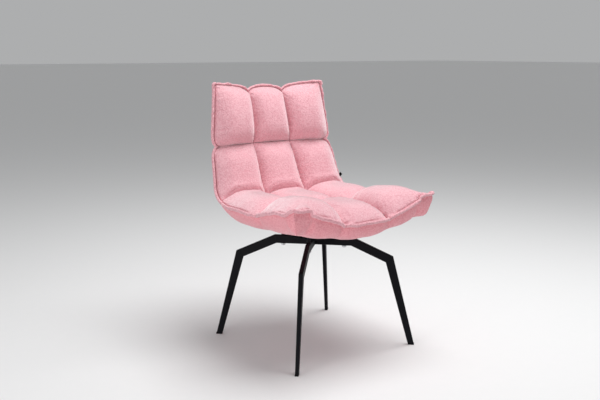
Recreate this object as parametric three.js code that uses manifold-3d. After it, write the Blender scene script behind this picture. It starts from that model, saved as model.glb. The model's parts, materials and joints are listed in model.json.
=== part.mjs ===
// Quilted lounge chair without arms on a four-legged steel base.
// Millimetres. +Z is up, the sitter looks along -Y and +X is the sitter's left.
// The origin lies on the floor under the middle of the chair's outline.
import * as THREE from 'three';
import { mergeVertices } from 'three/addons/utils/BufferGeometryUtils.js';
import Module from 'manifold-3d';

const wasm = await Module();
wasm.setup();

// ---- driving dimensions ----

const GAP = 0.3; // clearance between pieces that touch

// Steel base: radii are measured from the base's centre, along each diagonal
const BEAM_TOP = 354;
const TUBE_DEPTH = 28;
const TUBE_WIDTH = 14;
const TUBE_WALL = 2;
const TUBE_CORNER = 3;
const BEND_RADIUS = 130;
const KNEE = { r: 261, z: 295 };
const FOOT_OUTER_RADIUS = 335;
const FOOT_DEPTH = 20;
const FOOT_WIDTH = 11;
const GLIDE_HEIGHT = 5;
const GLIDE_PLUG = 14;
const PLATE_RADIUS = 75;
const PLATE_THICKNESS = 6;

// Fasteners between the base and the seat shell
const BOLT_CIRCLE_RADIUS = 101;
const BOLT_RADIUS = 4;
const BOLT_HEAD_RADIUS = 7;
const BOLT_HEAD_HEIGHT = 4;
const BOLT_PAST_SHELL = 8;
const BOLT_HOLE_RADIUS = 4.5;
const SPACER_RADIUS = 7;
const WASHER_RADIUS = 8;
const WASHER_THICKNESS = 1.6;
const NUT_FLANGE_RADIUS = 10;
const NUT_FLANGE_THICKNESS = 1.8;
const NUT_BARREL_RADIUS = 5.4;
const NUT_POCKET_HEIGHT = 14;

// Upholstered body: layers counted inwards from its rear and front surfaces
const REAR_COVER = 8;
const SHELL = 6;
const LAYER_GAP = 1;
const SEAM_HALF_THICKNESS = 2.5;
const FLANGE_WIDTH = 9;
const FLANGE_HALF_THICKNESS = 1.6;
const CHANNEL_HEIGHT = 6;
const SEAT_DEPTH_BELOW = 64;
const BACK_DEPTH_BEHIND = 30;
const SEAT_SIDE_ROUND = 125;
const SEAT_FRONT_ROUND = 105;
const BACK_EDGE_ROUND = 45;
// The underside has a flat pad over the base, which tilts up towards the front
const PAD_HEIGHT = 368.5;
const PAD_SLOPE = -0.09;
const PAD_HALF_WIDTH = 92;
const BOWL_HALF_WIDTH = 120;
const COLUMN_EDGE = 0.32; // half the middle column, as a share of the half width
const BODY_LENGTH = 850;

// Seam line of the body, from the front of the seat to the top of the back.
// side points hold the half width as x; centre points lie on the mirror plane.
const SIDE_SEAM = [
  [266, -268, 508], [264, -160, 484], [259, -55, 461], [260, 45, 461], [256, 130, 462],
  [252, 186, 490], [244, 212, 551], [235, 238, 640], [223, 252, 750], [213, 261, 840],
];
const CENTRE_SEAM = [
  [0, -278, 444], [0, -170, 446], [0, -55, 448], [0, 45, 449], [0, 138, 452],
  [0, 194, 488], [0, 226, 551], [0, 260, 640], [0, 286, 750], [0, 299, 840],
];
// Rows of the quilting, as places along the seam line from 0 to 1
const SEAT_SPLIT = 2 / 9;
const CREASE = 4.45 / 9;
const BACK_SPLIT = 7 / 9;
const CREASE_GAP = 0.0012;
// Puff heights from the front row of the seat to the top row of the back
const OUTER_PUFFS = [56, 49, 43, 44];
const MIDDLE_PUFFS = [46, 42, 41, 43];

const UP = new THREE.Vector3(0, 0, 1);

// ---- materials ----

const fabric = new THREE.MeshStandardMaterial({ color: 0xe9aeb6, roughness: 0.95, metalness: 0 });
const foam = new THREE.MeshStandardMaterial({ color: 0xe8dfc2, roughness: 0.9, metalness: 0 });
const shellPlastic = new THREE.MeshStandardMaterial({ color: 0x2c2c2e, roughness: 0.6, metalness: 0 });
const blackSteel = new THREE.MeshStandardMaterial({ color: 0x15151a, roughness: 0.5, metalness: 0.4 });
const zincSteel = new THREE.MeshStandardMaterial({ color: 0xa9abad, roughness: 0.35, metalness: 1 });
const blackPlastic = new THREE.MeshStandardMaterial({ color: 0x101012, roughness: 0.55, metalness: 0 });
const blackTape = new THREE.MeshStandardMaterial({ color: 0x0c0c0d, roughness: 0.9, metalness: 0 });

// ---- solids: closed meshes, and cuts between them ----

function solidFrom(geometry) {
  const bare = geometry.clone();
  bare.deleteAttribute('normal');
  bare.deleteAttribute('uv');
  const merged = mergeVertices(bare, 1e-4);
  return new wasm.Manifold(new wasm.Mesh({
    numProp: 3,
    vertProperties: new Float32Array(merged.attributes.position.array),
    triVerts: new Uint32Array(merged.index.array),
  }));
}

function geometryFrom(solid) {
  const mesh = solid.getMesh();
  const geometry = new THREE.BufferGeometry();
  geometry.setAttribute('position', new THREE.BufferAttribute(new Float32Array(mesh.vertProperties), 3));
  geometry.setIndex(new THREE.BufferAttribute(new Uint32Array(mesh.triVerts), 1));
  geometry.computeVertexNormals();
  return geometry;
}

function cutAll(geometry, cutters) {
  const cut = (solid, cutter) => solid.subtract(solidFrom(cutter));
  return geometryFrom(cutters.reduce(cut, solidFrom(geometry)));
}

// An upright cylinder between two heights
function rod(x, y, low, high, radius, segments = 16) {
  const geometry = new THREE.CylinderGeometry(radius, radius, high - low, segments);
  geometry.rotateX(Math.PI / 2);
  geometry.translate(x, y, (low + high) / 2);
  return geometry;
}

// An upright ring with an open bore between two heights
function ring(low, high, outer, inner) {
  const profile = [[inner, low], [outer, low], [outer, high], [inner, high], [inner, low]];
  const geometry = new THREE.LatheGeometry(profile.map(([r, z]) => new THREE.Vector2(r, z)), 16);
  geometry.rotateX(Math.PI / 2);
  return geometry;
}

// Quads of a strip that joins two rows of equal length. A strip that faces the
// other way keeps the same diagonals.
function stitch(triangles, lower, upper, closed, facesBack = false) {
  const last = closed ? lower.length : lower.length - 1;
  for (let i = 0; i < last; i += 1) {
    const next = (i + 1) % lower.length;
    const quad = [lower[i], lower[next], upper[next], lower[i], upper[next], upper[i]];
    triangles.push(...(facesBack ? quad.reverse() : quad));
  }
}

function closedGeometry(points, triangles) {
  const geometry = new THREE.BufferGeometry();
  const positions = points.flatMap((p) => p.toArray());
  geometry.setAttribute('position', new THREE.Float32BufferAttribute(positions, 3));
  const [a, b, c] = [new THREE.Vector3(), new THREE.Vector3(), new THREE.Vector3()];
  let volume = 0;
  for (let i = 0; i < triangles.length; i += 3) {
    a.copy(points[triangles[i]]);
    b.copy(points[triangles[i + 1]]);
    c.copy(points[triangles[i + 2]]);
    volume += a.dot(b.cross(c));
  }
  geometry.setIndex(volume < 0 ? triangles.slice().reverse() : triangles);
  geometry.computeVertexNormals();
  return geometry;
}

// ---- steel base ----

// Rounded rectangle as shares along the depth (a) and millimetres across the width (b)
function tubeLoop(depth, width, corner, steps) {
  const loop = [];
  for (let quarter = 0; quarter < 4; quarter += 1) {
    const signA = quarter === 0 || quarter === 3 ? 1 : -1;
    const signB = quarter < 2 ? 1 : -1;
    for (let i = 0; i <= steps; i += 1) {
      const angle = (quarter + i / steps) * Math.PI / 2;
      loop.push([
        (signA * (depth / 2 - corner) + corner * Math.cos(angle)) / depth + 0.5,
        signB * (width / 2 - corner) + corner * Math.sin(angle),
      ]);
    }
  }
  return loop;
}

// A hollow tube between two end sections. Each section is a line in the upright
// plane along a diagonal, from its lower point to its upper one, with a width.
function tubeBetween(direction, ends) {
  const across = new THREE.Vector3().crossVectors(UP, direction);
  const points = [];
  const loops = ends.map((end) => {
    const low = direction.clone().multiplyScalar(end.low.r).addScaledVector(UP, end.low.z);
    const high = direction.clone().multiplyScalar(end.high.r).addScaledVector(UP, end.high.z);
    const depth = low.distanceTo(high);
    const inset = depth - 2 * TUBE_WALL;
    const outer = tubeLoop(depth, end.width, TUBE_CORNER, 2);
    const inner = tubeLoop(inset, end.width - 2 * TUBE_WALL, TUBE_CORNER - TUBE_WALL, 1)
      .map(([a, b]) => [(a * inset + TUBE_WALL) / depth, b]);
    return [outer, inner].map((loop) => loop.map(([a, b]) => {
      points.push(low.clone().lerp(high, a).addScaledVector(across, b));
      return points.length - 1;
    }));
  });
  const triangles = [];
  const [[outerA, innerA], [outerB, innerB]] = loops;
  stitch(triangles, outerA, outerB, true);
  stitch(triangles, innerB, innerA, true);
  capRing(triangles, points, innerA, outerA, direction, across);
  capRing(triangles, points, outerB, innerB, direction, across);
  return closedGeometry(points, triangles);
}

// The flat ring of wall at a tube's end, between two loops that turn the same way
function capRing(triangles, points, from, to, direction, across) {
  const centre = from.reduce((sum, i) => sum.add(points[i]), new THREE.Vector3()).divideScalar(from.length);
  const slope = points[from[0]].clone().sub(centre);
  slope.addScaledVector(across, -slope.dot(across)).normalize();
  const turn = (i) => {
    const arm = points[i].clone().sub(centre);
    return (Math.atan2(arm.dot(across), arm.dot(slope)) + 2 * Math.PI) % (2 * Math.PI);
  };
  const sorted = [from, to].map((loop) => {
    const first = loop.reduce((best, i, k) => (turn(i) < turn(loop[best]) ? k : best), 0);
    return loop.map((_, k) => loop[(first + k) % loop.length]);
  });
  let [i, j] = [0, 0];
  const [a, b] = sorted;
  while (i < a.length || j < b.length) {
    const angleA = i < a.length ? (i + 1 < a.length ? turn(a[i + 1]) : 2 * Math.PI + turn(a[0])) : Infinity;
    const angleB = j < b.length ? (j + 1 < b.length ? turn(b[j + 1]) : 2 * Math.PI + turn(b[0])) : Infinity;
    if (angleA <= angleB) {
      triangles.push(a[i % a.length], a[(i + 1) % a.length], b[j % b.length]);
      i += 1;
    } else {
      triangles.push(a[i % a.length], b[(j + 1) % b.length], b[j % b.length]);
      j += 1;
    }
  }
}

// Where two lines in the (r, z) plane cross
function crossing(p, u, q, v) {
  const k = ((q.r - p.r) * v.z - (q.z - p.z) * v.r) / (u.r * v.z - u.z * v.r);
  return { r: p.r + k * u.r, z: p.z + k * u.z };
}

function unit(from, to) {
  const length = Math.hypot(to.r - from.r, to.z - from.z);
  return { r: (to.r - from.r) / length, z: (to.z - from.z) / length };
}

function moved(point, along, distance) {
  return { r: point.r + along.r * distance, z: point.z + along.z * distance };
}

// Corners of one leg's profile: bend, knee and foot, each with an outer (high)
// and an inner (low) point
function legProfile() {
  const bendHigh = { r: BEND_RADIUS, z: BEAM_TOP };
  const level = { r: 1, z: 0 };
  const slope = unit(bendHigh, KNEE);
  const inward = { r: slope.z, z: -slope.r };
  const slopeInner = moved(bendHigh, inward, TUBE_DEPTH);
  const bendLow = crossing({ r: 0, z: BEAM_TOP - TUBE_DEPTH }, level, slopeInner, slope);
  const footHigh = { r: FOOT_OUTER_RADIUS, z: 0 };
  const footLow = { r: FOOT_OUTER_RADIUS - FOOT_DEPTH, z: 0 };
  const fall = unit(KNEE, footHigh);
  const kneeInner = moved(KNEE, { r: fall.z, z: -fall.r }, TUBE_DEPTH);
  const kneeLow = crossing(kneeInner, unit(kneeInner, footLow), slopeInner, slope);
  return { level, slope, fall, bendHigh, bendLow, kneeHigh: KNEE, kneeLow, footHigh, footLow };
}

const profile = legProfile();
const DIAGONALS = {
  front_left: new THREE.Vector3(1, -1, 0).normalize(),
  front_right: new THREE.Vector3(-1, -1, 0).normalize(),
  rear_left: new THREE.Vector3(1, 1, 0).normalize(),
  rear_right: new THREE.Vector3(-1, 1, 0).normalize(),
};

function section(high, low, along, distance, width) {
  return { high: moved(high, along, distance), low: moved(low, along, distance), width };
}

function boltHole(direction) {
  const centre = direction.clone().multiplyScalar(BOLT_CIRCLE_RADIUS);
  return rod(centre.x, centre.y, BEAM_TOP - 2 * TUBE_DEPTH, BEAM_TOP + TUBE_DEPTH, BOLT_HOLE_RADIUS);
}

function longBeam() {
  const { level, bendHigh, bendLow } = profile;
  const far = section(bendHigh, bendLow, level, -GAP / 2, TUBE_WIDTH);
  const mirror = (p) => ({ r: -p.r, z: p.z });
  const near = { high: mirror(far.high), low: mirror(far.low), width: TUBE_WIDTH };
  const direction = DIAGONALS.front_left;
  const tube = tubeBetween(direction, [near, far]);
  return cutAll(tube, [boltHole(direction), boltHole(direction.clone().negate())]);
}

function halfBeam(direction) {
  const { level, bendHigh, bendLow } = profile;
  const start = TUBE_WIDTH / 2 + GAP;
  const near = {
    high: { r: start, z: BEAM_TOP },
    low: { r: start, z: BEAM_TOP - TUBE_DEPTH },
    width: TUBE_WIDTH,
  };
  const far = section(bendHigh, bendLow, level, -GAP / 2, TUBE_WIDTH);
  return cutAll(tubeBetween(direction, [near, far]), [boltHole(direction)]);
}

function slopingArm(direction) {
  const { slope, bendHigh, bendLow, kneeHigh, kneeLow } = profile;
  return tubeBetween(direction, [
    section(bendHigh, bendLow, slope, GAP / 2, TUBE_WIDTH),
    section(kneeHigh, kneeLow, slope, -GAP / 2, TUBE_WIDTH),
  ]);
}

// The lower end of the leg is cut level, just above the glide's pad
function lowerLeg(direction) {
  const { fall, kneeHigh, kneeLow, footHigh, footLow } = profile;
  const cut = GLIDE_HEIGHT + GAP;
  const share = cut / kneeLow.z;
  const high = { r: footHigh.r + fall.r / fall.z * cut, z: cut };
  const low = { r: footLow.r + (kneeLow.r - footLow.r) * share, z: cut };
  return tubeBetween(direction, [
    section(kneeHigh, kneeLow, fall, GAP / 2, TUBE_WIDTH),
    { high, low, width: FOOT_WIDTH },
  ]);
}

// A pad on the floor with a plug that stands inside the leg's tube
function footGlide(direction) {
  const { fall, footHigh, footLow } = profile;
  const angle = Math.atan2(direction.y, direction.x);
  const middle = (footHigh.r + footLow.r) / 2;
  const pad = new THREE.BoxGeometry(FOOT_DEPTH, FOOT_WIDTH, GLIDE_HEIGHT);
  pad.translate(middle, 0, GLIDE_HEIGHT / 2);
  const clear = TUBE_WALL + 2 * GAP;
  const plugDepth = FOOT_DEPTH - 2 * clear - 1;
  const plug = new THREE.BoxGeometry(plugDepth, FOOT_WIDTH - 2 * clear, GLIDE_PLUG + GLIDE_HEIGHT);
  const height = plug.attributes.position;
  for (let i = 0; i < height.count; i += 1) {
    const z = height.getZ(i) + (GLIDE_PLUG + GLIDE_HEIGHT) / 2 + 1;
    height.setXYZ(i, height.getX(i) + middle + (fall.r / fall.z) * z, height.getY(i), z);
  }
  const joined = geometryFrom(solidFrom(pad).add(solidFrom(plug)));
  joined.rotateZ(angle);
  return joined;
}

function centrePlate() {
  const low = BEAM_TOP + GAP;
  return rod(0, 0, low, low + PLATE_THICKNESS, PLATE_RADIUS, 40);
}

// ---- fasteners ----

const BEAM_BOTTOM = BEAM_TOP - TUBE_DEPTH;

function onCircle(geometry, direction) {
  geometry.translate(direction.x * BOLT_CIRCLE_RADIUS, direction.y * BOLT_CIRCLE_RADIUS, 0);
  return geometry;
}

function padHeight(y) {
  return PAD_HEIGHT + PAD_SLOPE * y;
}

// Level faces cut into the tilted shell at a bolt: under it for the spacer, on it for the nut
function boltSeats(direction) {
  const under = padHeight(direction.y * BOLT_CIRCLE_RADIUS) + REAR_COVER + LAYER_GAP;
  const slope = Math.abs(PAD_SLOPE);
  return { under: under + slope * SPACER_RADIUS, over: under + SHELL - slope * NUT_FLANGE_RADIUS };
}

function spacer(direction) {
  const { under } = boltSeats(direction);
  return onCircle(ring(BEAM_TOP + GAP, under - GAP, SPACER_RADIUS, BOLT_HOLE_RADIUS), direction);
}

function washer(direction) {
  const high = BEAM_BOTTOM - GAP;
  return onCircle(ring(high - WASHER_THICKNESS, high, WASHER_RADIUS, BOLT_HOLE_RADIUS), direction);
}

// A round-headed bolt with a hexagonal socket, pushed up from below
function bolt(direction) {
  const seat = BEAM_BOTTOM - WASHER_THICKNESS - 2 * GAP;
  const low = seat - BOLT_HEAD_HEIGHT;
  const tip = boltSeats(direction).over + BOLT_PAST_SHELL;
  const outline = [
    [0, low], [BOLT_HEAD_RADIUS * 0.7, low], [BOLT_HEAD_RADIUS, low + BOLT_HEAD_HEIGHT * 0.45],
    [BOLT_HEAD_RADIUS, seat], [BOLT_RADIUS, seat], [BOLT_RADIUS, tip - 1],
    [BOLT_RADIUS - 1, tip], [0, tip],
  ];
  const body = new THREE.LatheGeometry(outline.map(([r, z]) => new THREE.Vector2(r, z)), 16);
  body.rotateX(Math.PI / 2);
  const socketDepth = BOLT_HEAD_HEIGHT * 0.6;
  const socket = rod(0, 0, low - 1, low + socketDepth, BOLT_RADIUS * 0.7, 6);
  return onCircle(cutAll(body, [socket]), direction);
}

// A tee nut: its flange lies on the shell's upper face, its barrel fills the shell's hole
function teeNut(direction) {
  const { under, over } = boltSeats(direction);
  const [foot, face] = [under + GAP, over + GAP];
  const outline = [
    [BOLT_HOLE_RADIUS, foot], [NUT_BARREL_RADIUS, foot], [NUT_BARREL_RADIUS, face],
    [NUT_FLANGE_RADIUS, face], [NUT_FLANGE_RADIUS, face + NUT_FLANGE_THICKNESS],
    [BOLT_HOLE_RADIUS, face + NUT_FLANGE_THICKNESS], [BOLT_HOLE_RADIUS, foot],
  ];
  const geometry = new THREE.LatheGeometry(outline.map(([r, z]) => new THREE.Vector2(r, z)), 16);
  geometry.rotateX(Math.PI / 2);
  return onCircle(geometry, direction);
}

// ---- upholstered body ----

const sideLine = new THREE.CatmullRomCurve3(SIDE_SEAM.map((p) => new THREE.Vector3(...p)));
const centreLine = new THREE.CatmullRomCurve3(CENTRE_SEAM.map((p) => new THREE.Vector3(...p)));

// How far across the width the surface has turned from the centre line to the side seam
function crossShare(u, t) {
  const bowl = Math.max(0, (Math.abs(u) - 0.2) / 0.8);
  const seat = 1 - THREE.MathUtils.smoothstep(t, SEAT_SPLIT, CREASE);
  return THREE.MathUtils.lerp(u * u, bowl ** 1.2, seat);
}

// Point of the seam surface; u runs from -1 to 1 across, t from 0 to 1 along the chair
function seamPoint(u, t) {
  const side = sideLine.getPoint(t);
  const centre = centreLine.getPoint(t);
  const share = crossShare(u, t);
  return new THREE.Vector3(
    side.x * u,
    centre.y + (side.y - centre.y) * share,
    centre.z + (side.z - centre.z) * share,
  );
}

function seamNormal(u, t) {
  const step = 1e-3;
  const [u0, u1] = [Math.max(-1, u - step), Math.min(1, u + step)];
  const [t0, t1] = [Math.max(0, t - step), Math.min(1, t + step)];
  const across = seamPoint(u1, t).sub(seamPoint(u0, t));
  const along = seamPoint(u, t1).sub(seamPoint(u, t0));
  return across.cross(along).normalize();
}

// Rises like a quarter circle over the given distance from an edge
function edgeRound(distance, radius) {
  const rest = 1 - Math.min(Math.max(distance / radius, 0), 1);
  return Math.sqrt(1 - rest * rest);
}

function edgeDistances(u, t) {
  const halfWidth = sideLine.getPoint(t).x;
  return [(1 - Math.abs(u)) * halfWidth, Math.min(t, 1 - t) * BODY_LENGTH];
}

// Depth of the body behind its seam surface; the lower of the two edge roundings wins
function rearDepth(u, t) {
  const back = THREE.MathUtils.smoothstep(t, CREASE - 0.14, CREASE + 0.08);
  const depth = THREE.MathUtils.lerp(SEAT_DEPTH_BELOW, BACK_DEPTH_BEHIND, back);
  const [side, end] = edgeDistances(u, t);
  const sideShare = edgeRound(side, THREE.MathUtils.lerp(SEAT_SIDE_ROUND, BACK_EDGE_ROUND, back));
  const endShare = edgeRound(end, THREE.MathUtils.lerp(SEAT_FRONT_ROUND, BACK_EDGE_ROUND, back));
  const shares = [sideShare, endShare].map((share) => Math.max(share, 1e-3) ** -5);
  return SEAM_HALF_THICKNESS + depth * (shares[0] + shares[1]) ** -0.2;
}

// The quilted row or column that a value lies in, and its place there from -1 to 1
function cellPlace(value, edges) {
  const index = edges.findIndex((edge, i) => i > 0 && value <= edge);
  const k = index < 1 ? edges.length - 1 : index;
  return [k - 1, 2 * (value - edges[k - 1]) / (edges[k] - edges[k - 1]) - 1];
}

// Height of the quilted front above the seam surface
function frontHeight(u, t) {
  const [column, a] = cellPlace(u, [-1, -COLUMN_EDGE, COLUMN_EDGE, 1]);
  const [row, b] = cellPlace(t, [0, SEAT_SPLIT, CREASE, BACK_SPLIT, 1]);
  const height = (column === 1 ? MIDDLE_PUFFS : OUTER_PUFFS)[row];
  const dome = Math.sqrt(Math.max(0, 1 - a ** 4)) * (1 - Math.abs(b) ** 2.4);
  const [side, end] = edgeDistances(u, t);
  const toCrease = Math.abs(t - CREASE) * BODY_LENGTH;
  const channel = CHANNEL_HEIGHT * edgeRound(Math.min(side, end, toCrease), 2 * CHANNEL_HEIGHT);
  return SEAM_HALF_THICKNESS + channel + (height - CHANNEL_HEIGHT) * dome;
}

// A point of the body at an inset from its rear surface
function rearPoint(u, t, inset) {
  const depth = Math.max(rearDepth(u, t) - inset, GAP);
  const point = seamPoint(u, t).addScaledVector(seamNormal(u, t), -depth);
  if (t < CREASE) {
    const reach = (point.x ** 4 + point.y ** 4) ** 0.25;
    const flat = 1 - THREE.MathUtils.smoothstep(reach, PAD_HALF_WIDTH, BOWL_HALF_WIDTH);
    point.z = THREE.MathUtils.lerp(point.z, padHeight(point.y) + inset, flat);
  }
  return point;
}

// A point of the body at a height over the seam surface
function raisedPoint(u, t, height) {
  return seamPoint(u, t).addScaledVector(seamNormal(u, t), height);
}

// Grid lines that all layers share, so that their facets stay parallel: places
// across each half of the body, two of them at the pad's edge, and places along it
const HALF_COLUMNS = [0.165, 0.31, 0.44, 0.585, 0.72, 0.86];
const SEAT_ROWS = 14;
const BACK_ROWS = 11;
const END_INSET = 0.05;
const CREASE_INSET = 0.022;
const SEAT_SPAN = [END_INSET, CREASE - CREASE_INSET];
const BACK_SPAN = [CREASE + CREASE_INSET, 1 - END_INSET];

function evenPlaces(from, to, count) {
  return Array.from({ length: count + 1 }, (_, i) => THREE.MathUtils.lerp(from, to, i / count));
}

const innerColumns = [...HALF_COLUMNS.map((u) => -u).reverse(), 0, ...HALF_COLUMNS];
const edgeColumn = (1 + HALF_COLUMNS.at(-1)) / 2;
const fullColumns = [-1, -edgeColumn, ...innerColumns, edgeColumn, 1];
const seatRows = evenPlaces(...SEAT_SPAN, SEAT_ROWS);
const backRows = evenPlaces(...BACK_SPAN, BACK_ROWS);
const fullSeatRows = [0, END_INSET / 2, ...seatRows, CREASE - CREASE_GAP];
const fullBackRows = [CREASE + CREASE_GAP, ...backRows, 1 - END_INSET / 2, 1];
const shellRows = [...seatRows, CREASE, ...backRows];

// A closed layer of the body between a front and a rear surface
function layer(columns, rows, front, rear) {
  const points = [];
  const [top, bottom] = [front, rear].map((surface) => rows.map((t) => columns.map((u) => {
    points.push(surface(u, t));
    return points.length - 1;
  })));
  const triangles = [];
  const last = rows.length - 1;
  for (let j = 0; j < last; j += 1) {
    stitch(triangles, top[j], top[j + 1], false);
    stitch(triangles, bottom[j], bottom[j + 1], false, true);
  }
  const rim = (grid) => [
    ...grid[0],
    ...grid.slice(1).map((row) => row.at(-1)),
    ...grid[last].slice(0, -1).reverse(),
    ...grid.slice(1, last).reverse().map((row) => row[0]),
  ];
  stitch(triangles, rim(bottom), rim(top), true);
  return closedGeometry(points, triangles);
}

// The quilted cloth together with the wadding that fills its puffs
function quiltedCover(rows) {
  const front = (u, t) => raisedPoint(u, t, frontHeight(u, t));
  const underside = (u, t) => raisedPoint(u, t, GAP);
  return layer(fullColumns, rows, front, underside);
}

function rearCover(rows) {
  return layer(fullColumns, rows, (u, t) => rearPoint(u, t, REAR_COVER), (u, t) => rearPoint(u, t, 0));
}

function foamCore(rows) {
  const front = (u, t) => raisedPoint(u, t, -LAYER_GAP);
  return layer(innerColumns, rows, front, (u, t) => rearPoint(u, t, REAR_COVER + SHELL + 2 * LAYER_GAP));
}

function bodyShell() {
  const outer = REAR_COVER + LAYER_GAP;
  const inside = (u, t) => rearPoint(u, t, outer + SHELL);
  return layer(innerColumns, shellRows, inside, (u, t) => rearPoint(u, t, outer));
}

// Upright cylinders round the bolts; heights come from the level faces at each bolt
function boltCutters(radius, heights) {
  return Object.values(DIAGONALS).map((d) => {
    const [low, high] = heights(boltSeats(d));
    return rod(d.x * BOLT_CIRCLE_RADIUS, d.y * BOLT_CIRCLE_RADIUS, low, high, radius);
  });
}

// The flat flange of stitched cloth that stands out all round the body
function edgeFlange() {
  const stations = [];
  const [across, along] = [16, 30];
  for (let i = 0; i < across; i += 1) stations.push([2 * i / across - 1, 0]);
  for (let i = 0; i < along; i += 1) stations.push([1, i / along]);
  for (let i = 0; i < across; i += 1) stations.push([1 - 2 * i / across, 1]);
  for (let i = 0; i < along; i += 1) stations.push([-1, 1 - i / along]);
  const middle = stations.map(([u, t]) => seamPoint(u, t));
  const points = [];
  const rows = [[], [], [], []];
  stations.forEach(([u, t], i) => {
    const before = middle[(i + middle.length - 1) % middle.length];
    const after = middle[(i + 1) % middle.length];
    const normal = seamNormal(u, t);
    const outward = after.clone().sub(before).cross(normal).normalize();
    const corner = Math.abs(u) === 1 && (t === 0 || t === 1) ? Math.SQRT2 : 1;
    const section = [[1, -1], [FLANGE_WIDTH, -1], [FLANGE_WIDTH, 1], [1, 1]];
    section.forEach(([reach, side], k) => {
      const point = middle[i].clone().addScaledVector(outward, reach * corner);
      points.push(point.addScaledVector(normal, side * FLANGE_HALF_THICKNESS));
      rows[k].push(points.length - 1);
    });
  });
  const triangles = [];
  rows.forEach((row, k) => stitch(triangles, row, rows[(k + 1) % rows.length], true));
  return closedGeometry(points, triangles);
}

// A small blank tape label, sewn corner outwards under the back's left edge
const LABEL_SIZE = 12;
const LABEL_THICKNESS = 1.4;
const LABEL_PLACE = 0.6;
function blankLabel() {
  const geometry = new THREE.BoxGeometry(LABEL_SIZE, LABEL_THICKNESS, LABEL_SIZE);
  geometry.rotateY(Math.PI / 4);
  const edge = seamPoint(1, LABEL_PLACE);
  const reach = FLANGE_WIDTH + LABEL_SIZE / Math.SQRT2 + GAP;
  geometry.translate(edge.x + reach, edge.y + LABEL_THICKNESS, edge.z);
  return geometry;
}

// ---- assembly ----

const chair = new THREE.Group();
const model = new THREE.Group();
chair.add(model);

function addPiece(name, geometry, material) {
  const mesh = new THREE.Mesh(geometry, material);
  mesh.name = name;
  model.add(mesh);
}

addPiece('centre_beam', longBeam(), blackSteel);
addPiece('half_beam_left', halfBeam(DIAGONALS.rear_left), blackSteel);
addPiece('half_beam_right', halfBeam(DIAGONALS.front_right), blackSteel);
addPiece('centre_plate', centrePlate(), blackSteel);
for (const [place, direction] of Object.entries(DIAGONALS)) {
  addPiece(`arm_${place}`, slopingArm(direction), blackSteel);
  addPiece(`leg_${place}`, lowerLeg(direction), blackSteel);
  addPiece(`foot_glide_${place}`, footGlide(direction), blackPlastic);
  addPiece(`spacer_${place}`, spacer(direction), blackPlastic);
  addPiece(`washer_${place}`, washer(direction), zincSteel);
  addPiece(`bolt_${place}`, bolt(direction), zincSteel);
  addPiece(`tee_nut_${place}`, teeNut(direction), zincSteel);
}

const nutHoles = boltCutters(NUT_BARREL_RADIUS + GAP, ({ under, over }) => [under - SHELL, over + SHELL]);
const nutSeats = boltCutters(NUT_FLANGE_RADIUS + GAP, ({ over }) => [over, over + NUT_POCKET_HEIGHT]);
const spacerSeats = boltCutters(SPACER_RADIUS + GAP, ({ under }) => [under - SHELL, under]);
addPiece('body_shell', cutAll(bodyShell(), [...nutHoles, ...nutSeats, ...spacerSeats]), shellPlastic);
const nutPocketHeights = ({ over }) => [over - SHELL, over + NUT_POCKET_HEIGHT];
const nutPockets = boltCutters(NUT_FLANGE_RADIUS + 1, nutPocketHeights);
addPiece('seat_foam', cutAll(foamCore(seatRows), nutPockets), foam);
addPiece('back_foam', foamCore(backRows), foam);
addPiece('seat_quilted_cover', quiltedCover(fullSeatRows), fabric);
addPiece('back_quilted_cover', quiltedCover(fullBackRows), fabric);
const spacerHoles = boltCutters(SPACER_RADIUS + GAP, ({ under }) => [BEAM_TOP, under + SHELL]);
addPiece('seat_underside_cover', cutAll(rearCover(fullSeatRows), spacerHoles), fabric);
addPiece('back_rear_cover', rearCover(fullBackRows), fabric);
addPiece('edge_flange', edgeFlange(), fabric);
addPiece('blank_label', blankLabel(), blackTape);

// The seat reaches further forward than the back reaches behind the base, so the
// model is moved until its outline is centred over the origin
const outline = new THREE.Box3().setFromObject(model, true);
model.position.y = -(outline.min.y + outline.max.y) / 2;

export default chair;
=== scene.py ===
# Looks of the quilted lounge chair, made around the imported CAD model. Metres, +Z up.
import json
import math

import bpy
import numpy as np
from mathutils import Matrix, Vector, noise


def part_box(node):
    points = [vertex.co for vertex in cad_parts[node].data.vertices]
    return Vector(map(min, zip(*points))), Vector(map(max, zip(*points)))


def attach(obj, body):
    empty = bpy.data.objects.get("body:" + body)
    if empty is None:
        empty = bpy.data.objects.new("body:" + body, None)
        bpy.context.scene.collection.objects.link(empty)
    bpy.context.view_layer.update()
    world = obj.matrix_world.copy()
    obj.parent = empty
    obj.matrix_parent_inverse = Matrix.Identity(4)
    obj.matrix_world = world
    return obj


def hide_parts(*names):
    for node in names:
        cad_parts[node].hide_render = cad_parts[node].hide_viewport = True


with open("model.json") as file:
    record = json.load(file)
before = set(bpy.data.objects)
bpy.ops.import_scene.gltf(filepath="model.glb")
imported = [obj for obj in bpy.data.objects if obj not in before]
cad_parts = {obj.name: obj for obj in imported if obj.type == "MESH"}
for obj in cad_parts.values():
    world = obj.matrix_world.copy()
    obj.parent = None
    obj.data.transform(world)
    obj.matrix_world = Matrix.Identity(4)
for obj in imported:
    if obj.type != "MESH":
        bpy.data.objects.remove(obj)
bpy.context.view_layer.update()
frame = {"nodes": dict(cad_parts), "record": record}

MM = 0.001
ROOT = "root"

# ---------------------------------------------------------------- driving dimensions

# The base's centre, which the body's seam lines are measured from
plate_low, plate_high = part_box("centre_plate")
BASE_Y = (plate_low.y + plate_high.y) / 2

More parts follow.
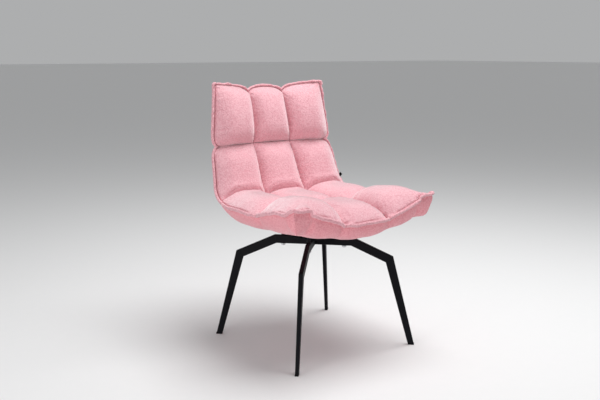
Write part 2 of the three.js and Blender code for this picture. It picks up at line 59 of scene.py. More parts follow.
# Seam lines from the front of the seat to the top of the back, in mm from the base's
# centre: down the side (half width, y, z) and down the middle.
SIDE_SEAM = np.array((
    (266, -268, 508), (264, -160, 484), (259, -55, 461), (260, 45, 461), (256, 130, 462),
    (252, 186, 490), (244, 212, 551), (235, 238, 640), (223, 252, 750), (213, 261, 840)), float)
CENTRE_SEAM = np.array((
    (0, -278, 444), (0, -170, 446), (0, -55, 448), (0, 45, 449), (0, 138, 452),
    (0, 194, 488), (0, 226, 551), (0, 260, 640), (0, 286, 750), (0, 299, 840)), float)

# Quilting: rows along the seam line, and half the middle column as a share of the width
SEAT_SPLIT = 2 / 9
CREASE = 4.45 / 9
BACK_SPLIT = 7 / 9
ROW_EDGES = (0, SEAT_SPLIT, CREASE, BACK_SPLIT, 1)
COLUMN_EDGE = 0.32
COLUMN_EDGES = (-1, -COLUMN_EDGE, COLUMN_EDGE, 1)
ROW_STEPS = (84, 76, 80, 80)
COLUMN_STEPS = (78, 70, 78)
ROW_LENGTHS = (222, 196, 214, 212)

# Puffs by row: heights in mm over the seam surface of the outer and the middle columns, how
# much cloth is gathered into their seams (0 is none, 1 is the whole length of the puff's
# arc), and the heights of the channels between them
PUFFS = ((58, 48), (45, 41), (50, 50), (57, 56))
GATHER = (0.6, 0.45, 0.35, 0.35)
CHANNELS = (6, 6, 8, 8)

# Rims by row: the length in mm over which a puff rises from a seam, and how gently (0 is a
# round lip, 1 is a slope that starts at the seam)
COLUMN_RIM = ((66, 0.5), (66, 0.5), (58, 0.5), (56, 0.42))
SIDE_RIM = ((95, 0.75), (80, 0.6), (60, 0.45), (60, 0.45))
LOW_RIM = ((96, 0.8), (70, 0.4), (54, 0.5), (58, 0.35))
HIGH_RIM = ((66, 0.4), (38, 0.1), (66, 0.6), (140, 1.0))

# Padded rear side: depths under the seat and behind the back, the rounding of its edges, and
# the flat pad over the base, which tilts up towards the front
SEAT_BELOW = 64
BACK_BEHIND = 30
SIDE_ROUND = 125
FRONT_ROUND = 105
BACK_ROUND = 45
SEAT_BOTTOM = 368.5
SEAT_TILT = -0.09
PAD_HALF_WIDTH = 92
BOWL_HALF_WIDTH = 120


# ---------------------------------------------------------------- seam surface

def spline(points, t):
    """Points of a smooth curve through the given ones, for t from 0 to 1."""
    last = len(points) - 1
    place = np.clip(np.asarray(t, float), 0, 1) * last
    k = np.minimum(place.astype(int), last - 1)
    f = (place - k)[..., None]
    a, b = points[k], points[k + 1]
    before = points[np.maximum(k - 1, 0)]
    after = points[np.minimum(k + 2, last)]
    ta, tb = (b - before) / 2, (after - a) / 2
    return ((2 * f**3 - 3 * f**2 + 1) * a + (f**3 - 2 * f**2 + f) * ta
            + (3 * f**2 - 2 * f**3) * b + (f**3 - f**2) * tb)


def smooth(x, low, high):
    """Rises from 0 at low to 1 at high."""
    f = np.clip((x - low) / (high - low), 0, 1)
    return f * f * (3 - 2 * f)


def mix(a, b, f):
    return a + (b - a) * f


def unit(v):
    return v / np.maximum(np.linalg.norm(v, axis=-1, keepdims=True), 1e-9)


def dot(a, b):
    return np.sum(a * b, axis=-1, keepdims=True)


# The flat middle's share of the half width, and how the sides turn up from it
BOWL_FLAT_SHARE = 0.2
BOWL_POWER = 1.2


def seam_surface(u, t):
    """The surface of the seams: across, the seat is flat in the middle and turns up."""
    side, centre = spline(SIDE_SEAM, t), spline(CENTRE_SEAM, t)
    seat = 1 - smooth(t, SEAT_SPLIT, CREASE)
    bowl = np.maximum(0, (np.abs(u) - BOWL_FLAT_SHARE) / (1 - BOWL_FLAT_SHARE)) ** BOWL_POWER
    share = mix(u * u, bowl, seat)[..., None]
    point = mix(centre, side, share)
    point[..., 0] = side[..., 0] * u
    return point


FRAME_STEP = 2e-3


def seam_frame(u, t):
    """Seam surface with its normal and its directions across and along."""
    u0, u1 = np.maximum(u - FRAME_STEP, -1), np.minimum(u + FRAME_STEP, 1)
    t0, t1 = np.maximum(t - FRAME_STEP, 0), np.minimum(t + FRAME_STEP, 1)
    across = unit(seam_surface(u1, t) - seam_surface(u0, t))
    along = unit(seam_surface(u, t1) - seam_surface(u, t0))
    return seam_surface(u, t), unit(np.cross(across, along)), across, along


def half_width(t):
    """Half the width of the body in mm."""
    return spline(SIDE_SEAM, t)[..., 0]


def end_distance(t, edge):
    """Distance in mm along the chair between t and one of the row edges."""
    lengths = np.concatenate(([0], np.cumsum(ROW_LENGTHS)))
    where = np.interp(t, ROW_EDGES, lengths)
    return np.abs(where - np.interp(edge, ROW_EDGES, lengths))


def edge_distances(u, t):
    """Distances in mm from the side edge and from the front or top edge."""
    side = (1 - np.abs(u)) * half_width(t)
    return side, np.minimum(end_distance(t, 0), end_distance(t, 1))


# Where seams pull the edge: (u, t, outwards across, onwards along, along the normal, and how
# wide and how far inwards it reaches)
PINCHES = (
    [(s * COLUMN_EDGE, 1.0, 0, -14, 0, 9, 36) for s in (-1, 1)]
    + [(s * COLUMN_EDGE, 1.0, 0, -15, 0, 58, 38) for s in (-1, 1)]
    + [(s * 1.0, 1.0, 4, 2, 0, 12, 30) for s in (-1, 1)]
    + [(s * COLUMN_EDGE, 0.0, 0, 13, -9, 13, 42) for s in (-1, 1)]
    + [(s * 1.0, BACK_SPLIT, -23, 0, 0, 8, 36) for s in (-1, 1)]
    + [(s * 1.0, SEAT_SPLIT, -12, 0, -3, 11, 42) for s in (-1, 1)]
    + [(s * 1.0, 0.046, 0, 0, -12, 20, 34) for s in (-1, 1)])


# A pinch has a rounded tip: how round, and the shift that keeps its full strength at the tip
TIP_ROUND = 0.1
TIP_SHIFT = 0.316


def pinch_weights(u, t, widening=1, deepening=1):
    """How strongly each pinch acts at a place of the body."""
    half = half_width(t)
    for pinch in PINCHES:
        pu, pt, width, reach = *pinch[:2], *pinch[5:]
        if abs(pu) == 1:
            beside = end_distance(t, pt)
            inside = np.abs(u - pu) * half
        else:
            beside = np.abs(u - pu) * half
            inside = end_distance(t, pt)
        fall = np.exp(-np.sqrt((beside / (width * widening)) ** 2 + TIP_ROUND) + TIP_SHIFT)
        yield pinch, fall * np.exp(-(inside / (reach * deepening)) ** 2)


# The gathered loop of flange beside each front corner of the seat
EAR_LENGTH = 54
EAR_HEIGHT = 14
EAR_REACH = 24
EAR_POWER = 1.2
EAR_DROP = (0.84, 1.08)


def ear_lift(u, t):
    """Rise of the edge in the loop: slow from the corner and steep at its far end."""
    side, _ = edge_distances(u, t)
    place = side / EAR_LENGTH
    loop = np.minimum(place, 1) ** EAR_POWER * (1 - smooth(place, *EAR_DROP))
    return EAR_HEIGHT * loop * np.exp(-(end_distance(t, 0) / EAR_REACH) ** 2)


def pinched_surface(u, t):
    """The seam surface with the pinches and the loops, and its frame."""
    point, normal, across, along = seam_frame(u, t)
    point = point + normal * ear_lift(u, t)[..., None]
    for (pu, _, outward, onward, lift, _, _), weight in pinch_weights(u, t):
        shift = np.sign(pu) * outward * across + onward * along + lift * normal
        point = point + shift * weight[..., None]
    return point, normal, across, along


def rounded(distance, radius):
    """Quarter circle from 0 at the edge to 1 at the radius."""
    rest = 1 - np.clip(distance / radius, 0, 1)
    return np.sqrt(1 - rest * rest)


# The share of a rim's length that a round lip takes up
LIP_SHARE = 0.7


def rim(distance, row, rims):
    """Rise of a puff away from one of its seams, from 0 at the seam to 1."""
    length, softness = np.moveaxis(np.array(rims)[row], -1, 0)
    share = np.clip(distance / length, 0, 1)
    return mix(rounded(distance, length * LIP_SHARE), np.sin(np.pi / 2 * share), softness)


def noise_at(points):
    """Smooth noise from -1 to 1 at each point of an array."""
    values = [noise.noise(Vector(p)) for p in points.reshape(-1, 3)]
    return np.array(values).reshape(points.shape[:-1])


def row_place(t):
    """For each t: its row, and its distances in mm from the row's two ends."""
    row = np.clip(np.searchsorted(ROW_EDGES, t, side="right") - 1, 0, 3)
    edges = np.array(ROW_EDGES)
    length = np.array(ROW_LENGTHS)[row]
    low = (t - edges[row]) / (edges[row + 1] - edges[row]) * length
    return row, low, length - low


def cell_sides(u, t):
    """For each place: its column, and its distances in mm from the column's two sides."""
    edges = np.array(COLUMN_EDGES)
    column = np.clip(np.searchsorted(edges, u, side="right") - 1, 0, 2)
    return column, (u - edges[column]) * half_width(t), (edges[column + 1] - u) * half_width(t)


# Small pleats where the cloth is gathered into a seam: their height by row, and their pitch,
# reach and start in mm from the seam
PLEAT = (6.0, 4.0, 3.0, 3.0)
PLEAT_PITCH = 11
PLEAT_REACH = 26
PLEAT_START = 7


def pleats(u, t, seam_distances):
    """Folds that run away from each seam and fade out, by the distances from the four seams."""
    row, low, _ = row_place(t)
    x = u * half_width(t)
    relief = np.zeros(np.shape(u))
    for k, distance in enumerate(seam_distances):
        along = low if k < 2 else x
        place = np.stack((along / PLEAT_PITCH, distance / (4 * PLEAT_PITCH), row * 5.0 + k), -1)
        fade = np.exp(-(distance / PLEAT_REACH) ** 1.5)
        relief += noise_at(place) * smooth(distance, 0, PLEAT_START) * fade
    return relief * np.array(PLEAT)[row]


# Length in mm from the edge over which the channels rise to their height
CHANNEL_RISE = 60


def front_height(u, t):
    """Height of the cut cloth over the seam surface, before it is settled."""
    row, low, high = row_place(t)
    column, left, right = cell_sides(u, t)
    dome = (np.where(column == 0, rim(left, row, SIDE_RIM), rim(left, row, COLUMN_RIM))
            * np.where(column == 2, rim(right, row, SIDE_RIM), rim(right, row, COLUMN_RIM))
            * rim(low, row, LOW_RIM) * rim(high, row, HIGH_RIM))
    height = np.array(PUFFS)[row, np.where(column == 1, 1, 0)]
    channel = np.array(CHANNELS)[row]
    folds = pleats(u, t, (left, right, low, high))
    at_seams = channel * smooth(np.minimum(*edge_distances(u, t)), 0, CHANNEL_RISE)
    return at_seams + (height - channel) * dome + folds


# Underside cloth: dimples at the narrow pinches, a seam ridge down each front corner, a bulge
# and a fold below the loop of flange, and lobes. Places and fades are in mm from the side
# edge and from the front edge, as (middle, width) or as (from, to)
NARROW = 15
DIMPLE = 5.5
SEAM_RIDGE = 4.4
EAR_BULGE = 14
EAR_FOLD = 12
LOBE = 5
RIDGE_WIDTH = 5
RIDGE_FADE = (45, 85)
BULGE_SIDE, BULGE_END = (32, 19), (26, 22)
FOLD_SIDE, FOLD_END = (66, 11), (18, 26)
LOBE_RISE, LOBE_START, LOBE_FADE = (0, 60), (5, 40), (60, 120)
FULL_RELIEF_DEPTH = 10


def bell(x, middle, width):
    return np.exp(-((x - middle) / width) ** 2)


def under_relief(u, t):
    """Folds of the underside cloth, and soft lobes that follow the puffs on the other side."""
    side, end = edge_distances(u, t)
    front = t < SEAT_SPLIT
    ridge = SEAM_RIDGE * bell(side, end, RIDGE_WIDTH) * (1 - smooth(side, *RIDGE_FADE))
    bulge = EAR_BULGE * bell(side, *BULGE_SIDE) * bell(end, *BULGE_END)
    fold = EAR_FOLD * bell(side, *FOLD_SIDE) * bell(end, *FOLD_END)
    _, low, high = row_place(t)
    _, left, right = cell_sides(u, t)
    between = np.where(side < end, np.minimum(low, high), np.minimum(left, right))
    edge = np.minimum(side, end)
    lobe = LOBE * smooth(between, *LOBE_RISE) * smooth(edge, *LOBE_START)
    lobe = lobe * (1 - smooth(edge, *LOBE_FADE))
    return front * (ridge + bulge - fold) + lobe


# Where the depth under the seat passes into the depth behind the back; how round its corners
# are; how much wider and deeper the narrow pinches act there, and their largest share of it
BACK_FROM = CREASE - 0.14
BACK_TO = CREASE + 0.08
CORNER_POWER = 5
REAR_WIDENING = 1.9
REAR_DEEPENING = 1.2
DIMPLE_SHARE = 0.45


def rear_depth(u, t):
    """Depth of the padded rear side below the seam surface."""
    back = smooth(t, BACK_FROM, BACK_TO)
    side, end = edge_distances(u, t)
    by_side = rounded(side, mix(SIDE_ROUND, BACK_ROUND, back))
    by_end = rounded(end, mix(FRONT_ROUND, BACK_ROUND, back))
    share = (np.maximum(by_side, 1e-3) ** -CORNER_POWER
             + np.maximum(by_end, 1e-3) ** -CORNER_POWER) ** (-1 / CORNER_POWER)
    depth = mix(SEAT_BELOW, BACK_BEHIND, back) * share
    narrow = sum(weight for pinch, weight in pinch_weights(u, t, REAR_WIDENING, REAR_DEEPENING)
                 if pinch[5] < NARROW)
    depth = depth - np.minimum(DIMPLE_SHARE * depth, DIMPLE) * np.minimum(narrow, 1)
    return depth + under_relief(u, t) * np.minimum(1, depth / FULL_RELIEF_DEPTH)


def rear_surface(u, t):
    """The outer side of the rear padding, flat over the base."""
    point, normal, _, _ = pinched_surface(u, t)
    point = point - normal * rear_depth(u, t)[..., None]
    reach = (point[..., 0] ** 4 + point[..., 1] ** 4) ** 0.25
    flat = 1 - smooth(reach, PAD_HALF_WIDTH, BOWL_HALF_WIDTH)
    flat = flat * (t < CREASE)
    plane = SEAT_BOTTOM + SEAT_TILT * point[..., 1]
    point[..., 2] = mix(point[..., 2], plane, flat)
    return point


def to_world(points):
    """Base-centred millimetres to metres in the CAD's frame."""
    world = np.array(points, float) * MM
    world[..., 1] += BASE_Y
    return world


# ---------------------------------------------------------------- grids of places

def places(edges, steps, crowding):
    """Grid lines between the edges, crowded towards each edge."""
    lines = []
    for low, high, count in zip(edges, edges[1:], steps):
        share = np.linspace(0, 1, count, endpoint=False)
        share = share - crowding * np.sin(2 * np.pi * share) / (2 * np.pi)
        lines.append(low + (high - low) * share)
    return np.append(np.concatenate(lines), edges[-1])


def mesh_of(t_places, u_places):
    """Grids of u and t, one row for each t."""
    t, u = np.meshgrid(t_places, u_places, indexing="ij")
    return u, t


# ---------------------------------------------------------------- cloth settling

def link_sets(across, along, columns, rows):
    """Pairs of grid points that lie a step apart, in sets where no point comes twice."""
    sets = []
    left = slice(max(0, -across), columns - max(0, across))
    right = slice(max(0, across), columns + min(0, across))
    for first in range(2 * max(abs(across), along) if 0 in (across, along) else 2 * along):
        if along:
            low = slice(first, rows - along, 2 * along)
            high = slice(first + along, rows, 2 * along)
            sets.append(((low, left), (high, right)))
        else:
            low = slice(first, columns - across, 2 * across)
            high = slice(first + across, columns, 2 * across)
            sets.append(((slice(0, rows), low), (slice(0, rows), high)))
    return sets


def spacing(points, axis):
    """Distances between neighbours along one axis of the grid."""
    return np.linalg.norm(np.diff(points, axis=axis), axis=-1)


def panel_spacing(points, row_lines, column_lines, gather):
    """Length of cloth between neighbours: more than the seams have room for, by gather."""
    across, along = spacing(points, 1), spacing(points, 0)
    for k, (low, high) in enumerate(zip(row_lines, row_lines[1:])):
        middle = across[(low + high) // 2]
        part = across[low:high + 1]
        across[low:high + 1] = np.maximum(part, mix(part, middle, gather[k]))
        for left, right in zip(column_lines, column_lines[1:]):
            middle = along[low:high, (left + right) // 2][:, None]
            part = along[low:high, left:right + 1]
            along[low:high, left:right + 1] = np.maximum(part, mix(part, middle, gather[k]))
    return across, along


def node_spacing(across, along):
    """The same lengths at the grid points."""
    rows, columns = across.shape[0], along.shape[1]
    at_u, at_v = np.empty((rows, columns)), np.empty((rows, columns))
    at_u[:, 1:-1] = (across[:, 1:] + across[:, :-1]) / 2
    at_u[:, 0], at_u[:, -1] = across[:, 0], across[:, -1]
    at_v[1:-1] = (along[1:] + along[:-1]) / 2
    at_v[0], at_v[-1] = along[0], along[-1]
    return at_u, at_v


# Stiffness of the links across each square and over two steps, and how far the latter may
# shorten before they push
SHEAR = 0.35
BEND = 0.3
BEND_SHARE = 0.96
LINKS = ((1, 0, 1, False), (0, 1, 1, False), (1, 1, SHEAR, False), (-1, 1, SHEAR, False),
         (2, 0, BEND, True), (0, 2, BEND, True))


def link_rules(across, along):
    """Every set of links with its rest lengths, stiffness and whether it only pushes."""
    rows, columns = across.shape[0], along.shape[1]
    at_u, at_v = node_spacing(across, along)
    rules = []
    for du, dv, stiffness, pushes in LINKS:
        for a, b in link_sets(du, dv, columns, rows):
            length = np.hypot(abs(du) * (at_u[a] + at_u[b]) / 2, dv * (at_v[a] + at_v[b]) / 2)
            length = length * (BEND_SHARE if pushes else 1)
            rules.append((a, b, length[..., None], stiffness, pushes))
    return rules


def pull(x, free, rule):
    """Moves the free ends of one set of links towards their rest lengths."""
    a, b, rest, stiffness, pushes = rule
    gap = x[b] - x[a]
    length = np.maximum(np.linalg.norm(gap, axis=-1, keepdims=True), 1e-6)
    error = length - rest
    if pushes:
        error = np.minimum(error, 0)
    step = gap * (stiffness * error / length / np.maximum(free[a] + free[b], 1))
    x[a] += free[a] * step
    x[b] -= free[b] * step


# The puffs above the back's long seam lean over it a little, as a slope of their wall
OVERHANG = 0.06


def wall_frames(u, t):
    """Point and direction of the four channels round each grid point's puff."""
    columns, rows = np.array(COLUMN_EDGES), np.array(ROW_EDGES)
    column, _, _ = cell_sides(u, t)
    row, _, _ = row_place(t)
    walls = []
    for edge, sign in ((columns[column], 1), (columns[column + 1], -1)):
        point, _, across, _ = seam_frame(edge, t)
        walls.append((point, across * sign))
    for edge, sign in ((rows[row], 1), (rows[row + 1], -1)):
        point, normal, _, along = seam_frame(u, edge)
        lean = np.where(np.isclose(edge, BACK_SPLIT), OVERHANG, 0)[..., None]
        walls.append((point, unit(along + lean * normal) * sign))
    return walls


# Settling: gap to a wall in mm, rounds, push outwards in mm a round, the share of a rise that
# the wadding takes back and of the last move that carries on, the first ripple and the
# largest move in mm, and the smoothing at the end
WALL_GAP = 0.35
ROUNDS = 240
PRESSURE = 0.16
WADDING = 0.045
DAMPING = 0.7
FIRST_RIPPLE = 0.3
LARGEST_DRIFT = 1.5
SMOOTHING_ROUNDS = 2
SMOOTHING = 0.35


def settle(cloth, u, t, rules, pinned, seed):
    """Lets cloth that is sewn down at its seams find its wrinkles over springy wadding."""
    free = (~pinned)[..., None].astype(float)
    walls = wall_frames(u, t)
    outwards = cloth_normals(cloth)
    ripple = np.random.default_rng(seed).normal(size=cloth.shape[:2])
    x = cloth + free * FIRST_RIPPLE * ripple[..., None] * outwards
    drift = np.zeros_like(x)
    for _ in range(ROUNDS):
        before = x.copy()
        raised = dot(x - cloth, outwards)
        push = DAMPING * drift + PRESSURE * cloth_normals(x) - WADDING * raised * outwards
        x = x + free * push
        for rule in rules:
            pull(x, free, rule)
        for point, inwards in walls:
            x += free * inwards * np.maximum(0, WALL_GAP - dot(x - point, inwards))
        drift = np.clip(x - before, -LARGEST_DRIFT, LARGEST_DRIFT)
    for _ in range(SMOOTHING_ROUNDS):
        around = (np.roll(x, 1, 0) + np.roll(x, -1, 0) + np.roll(x, 1, 1) + np.roll(x, -1, 1)) / 4
        x = x + SMOOTHING * free * (around - x)
    return x


def cloth_normals(x):
    """Outward directions of a grid of cloth."""
    return unit(np.cross(np.gradient(x, axis=1), np.gradient(x, axis=0)))


# Height and width in mm of the yarn's low bumps
LOOP_RELIEF = 0.7
LOOP_SIZE = 5.5


def looped(x, pinned):
    """Adds the low bumps of the looped yarn."""
    bumps = noise_at(x * (1 / LOOP_SIZE))
    return x + (~pinned * bumps)[..., None] * LOOP_RELIEF * cloth_normals(x)


# ---------------------------------------------------------------- meshes

def grid_faces(rows, columns, start, flip):
    """Squares of a grid of points that are numbered row by row."""
    faces = []
    for j in range(rows - 1):
        for i in range(columns - 1):
            a = start + j * columns + i
            quad = (a, a + 1, a + columns + 1, a + columns)
            faces.append(quad[::-1] if flip else quad)
    return faces


def rim_loop(rows, columns):
    """Grid points round the edge, turning the same way as the faces."""
    return (list(range(columns))
            + [j * columns + columns - 1 for j in range(1, rows)]
            + [(rows - 1) * columns + i for i in range(columns - 2, -1, -1)]
            + [j * columns for j in range(rows - 2, 0, -1)])


def mesh_object(name, points, faces, material):
    mesh = bpy.data.meshes.new(name)
    mesh.from_pydata([tuple(p) for p in points], [], [tuple(f) for f in faces])
    mesh.validate()
    mesh.update()
    mesh.shade_smooth()
    mesh.materials.append(material)
    obj = bpy.data.objects.new(name, mesh)
    bpy.context.collection.objects.link(obj)
    return obj


def closed_pad(name, face, backing, material, faces_front):
    """A closed piece between a shaped face and its backing, two grids of equal size."""
    rows, columns = face.shape[:2]
    count = rows * columns
    points = to_world(np.concatenate((face.reshape(-1, 3), backing.reshape(-1, 3))))
    faces = grid_faces(rows, columns, 0, not faces_front)
    faces += grid_faces(rows, columns, count, faces_front)
    loop = rim_loop(rows, columns)
    for a, b in zip(loop, loop[1:] + loop[:1]):
        quad = (a, a + count, b + count, b)
        faces.append(quad if faces_front else quad[::-1])
    return mesh_object(name, points, faces, material)


# ---------------------------------------------------------------- materials

def node_material(name):
    material = bpy.data.materials.new(name)
    material.use_nodes = True
    nodes, links = material.node_tree.nodes, material.node_tree.links
    shader = nodes["Principled BSDF"]
    return material, nodes, links, shader


def add_node(nodes, kind, **inputs):
    node = nodes.new(kind)
    for key, value in inputs.items():
        node.inputs[key.replace("_", " ")].default_value = value
    return node


# How much the colour is mottled, and where the light colour starts in the loops' height: below it
# the pink darkens into the dips between the loops, which is painted shade
MOTTLE = 0.25
LIGHT_FROM = 0.46


def boucle_material(name, light, dark, sheen):
    """Looped woolly cloth: tight curls a few millimetres wide, slightly mottled, with painted
    shade in the dips between the curls.
    """
    material, nodes, links, shader = node_material(name)
    coords = nodes.new("ShaderNodeTexCoord")
    loops = add_node(nodes, "ShaderNodeTexVoronoi", Scale=260.0, Randomness=1.0)
    loops.feature = "SMOOTH_F1"
    curls = add_node(nodes, "ShaderNodeTexNoise", Scale=210.0, Detail=4.0, Roughness=0.65)
    cloud = add_node(nodes, "ShaderNodeTexNoise", Scale=26.0, Detail=3.0)
    for texture in (loops, curls, cloud):
        links.new(coords.outputs["Object"], texture.inputs["Vector"])
    height = nodes.new("ShaderNodeMath")
    height.operation = "SUBTRACT"
    links.new(curls.outputs["Fac"], height.inputs[0])
    links.new(loops.outputs["Distance"], height.inputs[1])
    dip_shade_and_mottle = nodes.new("ShaderNodeMath")
    dip_shade_and_mottle.operation = "MULTIPLY_ADD"
    dip_shade_and_mottle.inputs[1].default_value = MOTTLE
    links.new(cloud.outputs["Fac"], dip_shade_and_mottle.inputs[0])
    links.new(height.outputs[0], dip_shade_and_mottle.inputs[2])
    ramp = nodes.new("ShaderNodeValToRGB")
    ramp.color_ramp.elements[0].position = 0.0
    ramp.color_ramp.elements[0].color = (*dark, 1)
    ramp.color_ramp.elements[1].position = LIGHT_FROM
    ramp.color_ramp.elements[1].color = (*light, 1)
    links.new(dip_shade_and_mottle.outputs[0], ramp.inputs["Fac"])
    links.new(ramp.outputs["Color"], shader.inputs["Base Color"])
    bump = add_node(nodes, "ShaderNodeBump", Strength=0.8, Distance=0.0016)
    links.new(height.outputs[0], bump.inputs["Height"])
    links.new(bump.outputs["Normal"], shader.inputs["Normal"])
    shader.inputs["Roughness"].default_value = 0.95
    shader.inputs["Specular IOR Level"].default_value = 0.5
    shader.inputs["Sheen Weight"].default_value = sheen
    shader.inputs["Sheen Roughness"].default_value = 0.5
    shader.inputs["Sheen Tint"].default_value = (1.0, 0.98, 0.99, 1)
    return material


# The pink of the loops' tops, and a darker pink for the dips between them: painted shade, mixed
# with the mottling
PINK_LIGHT = (0.845, 0.47, 0.515)
PINK_DARK = (0.72, 0.325, 0.375)
boucle = boucle_material("pink_boucle", PINK_LIGHT, PINK_DARK, 1.0)
# The underside and the flange get copies of the same cloth with less sheen. The underside's
# fuller pink is painted shade, and the flange's slightly paler pink is painted light.
SHADED_PINK_LIGHT = (0.92, 0.41, 0.455)
SHADED_PINK_DARK = (0.80, 0.28, 0.325)
# A slightly paler pink for the flange: painted light on its rolled ridge
LIT_EDGE_PINK_LIGHT = (0.88, 0.48, 0.525)
painted_shade_boucle = boucle_material("pink_boucle_painted_shade", SHADED_PINK_LIGHT, SHADED_PINK_DARK, 0.35)
painted_light_edge_boucle = boucle_material("pink_boucle_painted_light_edge", LIT_EDGE_PINK_LIGHT, PINK_DARK, 0.5)


# ---------------------------------------------------------------- upholstery

# How strongly the grids are crowded towards the seams, across and along
CROWDING_ACROSS = 0.86
CROWDING_ALONG = 0.8
FRONT_U = places(COLUMN_EDGES, COLUMN_STEPS, CROWDING_ACROSS)
COLUMN_LINES = np.concatenate(([0], np.cumsum(COLUMN_STEPS)))
BACKING = 0.8


def padded_piece(obj, replaced):
    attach(obj, ROOT)
    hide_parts(replaced)


def quilted_cover(name, first_row, replaced, seed):
    """Six puffs of cloth over wadding, sewn down along the channels between them."""
    edges = ROW_EDGES[first_row:first_row + 3]
    steps = ROW_STEPS[first_row:first_row + 2]
    row_lines = np.concatenate(([0], np.cumsum(steps)))
    u, t = mesh_of(places(edges, steps, CROWDING_ALONG), FRONT_U)
    base, normal, _, _ = pinched_surface(u, t)
    cut = base + normal * front_height(u, t)[..., None]
    pinned = np.zeros(cut.shape[:2], bool)
    pinned[row_lines] = True
    pinned[:, COLUMN_LINES] = True
    lengths = panel_spacing(cut, row_lines, COLUMN_LINES, GATHER[first_row:first_row + 2])
    cut = settle(cut, u, t, link_rules(*lengths), pinned, seed)
    face = looped(cut, pinned)
    obj = closed_pad(name, face, base - normal * BACKING, boucle, True)
    padded_piece(obj, replaced)


# Rear covers: grid, thickness as a share of the depth, and soft swellings (height in mm,
# scale, and the distances from the edge over which they start)
REAR_COLUMNS = 150
REAR_ROWS = 110
REAR_CROWDING = 0.75
REAR_WALL = 0.9
SOFT_SWELL = 2.2
SOFT_SCALE = 0.018
SOFT_START = (5, 45)


def rear_cover(name, low, high, replaced, material):
    """The soft padded cloth under the seat or behind the back."""
    u_places = places((-1, 1), (REAR_COLUMNS,), REAR_CROWDING)
    u, t = mesh_of(places((low, high), (REAR_ROWS,), REAR_CROWDING), u_places)
    base, _, _, _ = pinched_surface(u, t)
    outer = rear_surface(u, t)
    edge = np.minimum(*edge_distances(u, t))
    swell = SOFT_SWELL * noise_at(outer * SOFT_SCALE) * smooth(edge, *SOFT_START)
    outer = outer + cloth_normals(outer) * swell[..., None]
    inner = mix(base, outer, REAR_WALL)
    obj = closed_pad(name, looped(outer, edge < 1), inner, material, False)
    padded_piece(obj, replaced)


quilted_cover("seat_quilted_cover_cloth", 0, "seat_quilted_cover", 3)
quilted_cover("back_quilted_cover_cloth", 2, "back_quilted_cover", 5)
# The cloth under the seat is drawn in the pink with painted shade
rear_cover("seat_underside_cloth", 0, CREASE, "seat_underside_cover", painted_shade_boucle)
rear_cover("back_rear_cloth", CREASE, 1, "back_rear_cover", boucle)


# Flange: its section (outwards from the seam, and up) and how it waves
FLANGE_WIDTH = 10
FLANGE_SECTION = ((-3, -2.0), (1.6, -3.6), (5.0, -5.0), (8.2, -4.2), (10.4, -1.2), (10.6, 2.4),
                  (9.0, 5.4), (6.4, 6.6), (4.2, 5.0), (2.8, 1.8), (1.8, -0.6), (-3, -0.8))
FLANGE_STEPS = (200, 320)
FLANGE_SMOOTHING = 4
WAVE_SCALE, FINE_SCALE = 0.035, 0.11
WAVE_OUT, FINE_OUT = 2.0, 1.4
WAVE_UP, FINE_UP = 3.4, 2.2


def perimeter():
    """Places round the whole edge of the body, starting at the seat's front right corner."""
    across, along = FLANGE_STEPS
    u = np.concatenate((np.linspace(-1, 1, across, endpoint=False), np.ones(along),
                        np.linspace(1, -1, across, endpoint=False), -np.ones(along)))
    t = np.concatenate((np.zeros(across), np.linspace(0, 1, along, endpoint=False),
                        np.ones(across), np.linspace(1, 0, along, endpoint=False)))
    return u, t


def flange():
    """The rolled strip of cloth that is sewn all round the edge."""
    u, t = perimeter()
    point, normal, _, _ = pinched_surface(u, t)
    forward = unit(np.roll(point, -1, axis=0) - np.roll(point, 1, axis=0))
    outward = unit(np.cross(forward, normal))
    for _ in range(FLANGE_SMOOTHING):
        outward = unit(outward + np.roll(outward, 1, axis=0) + np.roll(outward, -1, axis=0))
    wave = noise_at(point * WAVE_SCALE)
    fine = noise_at(point * FINE_SCALE + np.array((7, 3, 1)))
    rings = []
    for reach, rise in FLANGE_SECTION:
        loose = np.clip(reach / FLANGE_WIDTH, 0, 1)
        offset = outward * (reach + loose * (wave * WAVE_OUT + fine * FINE_OUT))[:, None]
        lift = rise + loose * (wave * WAVE_UP + fine * FINE_UP)
        rings.append(point + offset + normal * lift[:, None])
    points = to_world(np.stack(rings, axis=1)).reshape(-1, 3)
    count, ring = len(u), len(FLANGE_SECTION)
    faces = []
    for i in range(count):
        j = (i + 1) % count
        for k in range(ring):
            m = (k + 1) % ring
            faces.append((i * ring + k, j * ring + k, j * ring + m, i * ring + m))
    # The flange is drawn in the pink with painted light
    obj = mesh_object("edge_flange_cloth", points, faces, painted_light_edge_boucle)
    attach(obj, ROOT)
    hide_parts("edge_flange")


flange()


# ---------------------------------------------------------------- base and fixings

GLOSS_SPREAD = 0.07


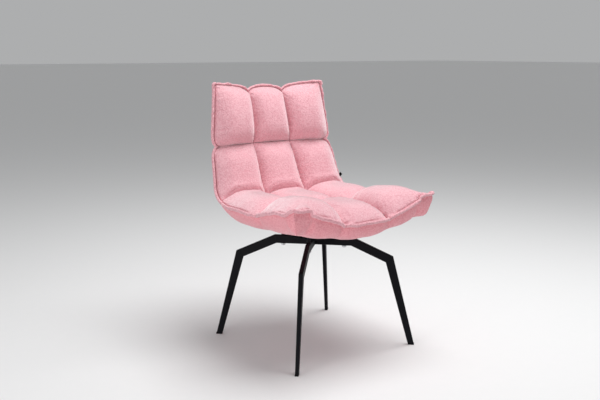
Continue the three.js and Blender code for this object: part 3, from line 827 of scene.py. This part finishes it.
def grained_material(name, colour, roughness, grain=900.0, strength=0.2, metallic=0.0,
                     specular=0.1, unevenness=0.2):
    """A plain finish with fine grain in its surface and slightly uneven gloss."""
    material, nodes, links, shader = node_material(name)
    coords = nodes.new("ShaderNodeTexCoord")
    texture = add_node(nodes, "ShaderNodeTexNoise", Scale=grain, Detail=3.0)
    cloud = add_node(nodes, "ShaderNodeTexNoise", Scale=30.0, Detail=3.0)
    for part in (texture, cloud):
        links.new(coords.outputs["Object"], part.inputs["Vector"])
    bump = add_node(nodes, "ShaderNodeBump", Strength=strength, Distance=0.0003)
    links.new(texture.outputs["Fac"], bump.inputs["Height"])
    links.new(bump.outputs["Normal"], shader.inputs["Normal"])
    gloss = add_node(nodes, "ShaderNodeMapRange")
    gloss.inputs["To Min"].default_value = roughness - GLOSS_SPREAD
    gloss.inputs["To Max"].default_value = roughness + GLOSS_SPREAD
    links.new(cloud.outputs["Fac"], gloss.inputs["Value"])
    links.new(gloss.outputs["Result"], shader.inputs["Roughness"])
    tint = add_node(nodes, "ShaderNodeMix", Factor=0.5)
    tint.data_type = "RGBA"
    links.new(cloud.outputs["Fac"], tint.inputs["Factor"])
    tint.inputs["A"].default_value = (*(c * (1 - unevenness) for c in colour), 1)
    tint.inputs["B"].default_value = (*(min(1, c * (1 + unevenness)) for c in colour), 1)
    links.new(tint.outputs["Result"], shader.inputs["Base Color"])
    shader.inputs["Metallic"].default_value = metallic
    shader.inputs["Specular IOR Level"].default_value = specular
    return material


FINISHES = {
    "black_steel": grained_material("black_powder_coat", (0.004, 0.004, 0.006), 0.5),
    "black_plastic": grained_material("black_plastic", (0.005, 0.005, 0.006), 0.55, grain=400.0),
    "zinc_steel": grained_material("zinc_plate", (0.62, 0.63, 0.65), 0.35, grain=1500.0,
                                   strength=0.1, metallic=1.0, specular=0.5),
    "shell_plastic": grained_material("shell_plastic", (0.03, 0.03, 0.033), 0.6, grain=300.0,
                                      strength=0.4),
    "foam": grained_material("foam", (0.78, 0.70, 0.48), 0.9, grain=500.0, strength=0.8),
    "black_tape": grained_material("black_tape", (0.006, 0.006, 0.007), 0.85, grain=1200.0,
                                   strength=0.6),
    "pink_boucle": boucle,
}
for subpart in frame["record"]["subparts"]:
    for slot in frame["nodes"][subpart["node"]].material_slots:
        slot.material = FINISHES[subpart["material_slot"]]


# ---------------------------------------------------------------- stage, light and camera

FLOOR_COLOUR = (0.80, 0.80, 0.80)
FLOOR_REACH = 60.0


def stage():
    material = grained_material("pale_floor", FLOOR_COLOUR, 0.8, grain=60.0, strength=0.05,
                                unevenness=0.01)
    corners = [(x * FLOOR_REACH, y * FLOOR_REACH, 0)
               for x, y in ((-1, -1), (1, -1), (1, 1), (-1, 1))]
    floor = mesh_object("floor", corners, [(0, 1, 2, 3)], material)


def area_light(name, place, target, size, power):
    data = bpy.data.lights.new(name, "AREA")
    data.shape = "SQUARE"
    data.size = size
    data.energy = power
    lamp = bpy.data.objects.new(name, data)
    lamp.location = place
    lamp.rotation_euler = (Vector(target) - Vector(place)).to_track_quat("-Z", "Y").to_euler()
    bpy.context.collection.objects.link(lamp)


stage()
CHAIR_MIDDLE = (0, BASE_Y, 0.45)
area_light("key", (0.7, -0.3, 3.0), CHAIR_MIDDLE, 1.8, 78)
area_light("fill", (-2.9, -0.9, 0.6), CHAIR_MIDDLE, 1.2, 22)
world = bpy.data.worlds.new("studio")
world.use_nodes = True
background = world.node_tree.nodes["Background"]
background.inputs["Color"].default_value = (0.93, 0.94, 0.95, 1)
background.inputs["Strength"].default_value = 0.45
bpy.context.scene.world = world
bpy.context.scene.view_settings.view_transform = "Standard"

# Camera, measured from the base's centre
CAMERA_DISTANCE = 2.658
CAMERA_HEIGHT = 0.951
CAMERA_AZIMUTH = math.radians(-36.46)
CAMERA_PAN = math.radians(-0.97)
CAMERA_TILT = math.radians(10.19)
LENS = 49.7
SENSOR_WIDTH = 36.0


def camera():
    data = bpy.data.cameras.new("camera")
    data.lens = LENS
    data.sensor_width = SENSOR_WIDTH
    obj = bpy.data.objects.new("camera", data)
    obj.location = (math.sin(CAMERA_AZIMUTH) * CAMERA_DISTANCE,
                    BASE_Y - math.cos(CAMERA_AZIMUTH) * CAMERA_DISTANCE, CAMERA_HEIGHT)
    heading = CAMERA_AZIMUTH - CAMERA_PAN
    level = math.cos(CAMERA_TILT)
    look = Vector((-math.sin(heading) * level, math.cos(heading) * level, -math.sin(CAMERA_TILT)))
    obj.rotation_euler = look.to_track_quat("-Z", "Y").to_euler()
    bpy.context.collection.objects.link(obj)
    bpy.context.scene.camera = obj


camera()
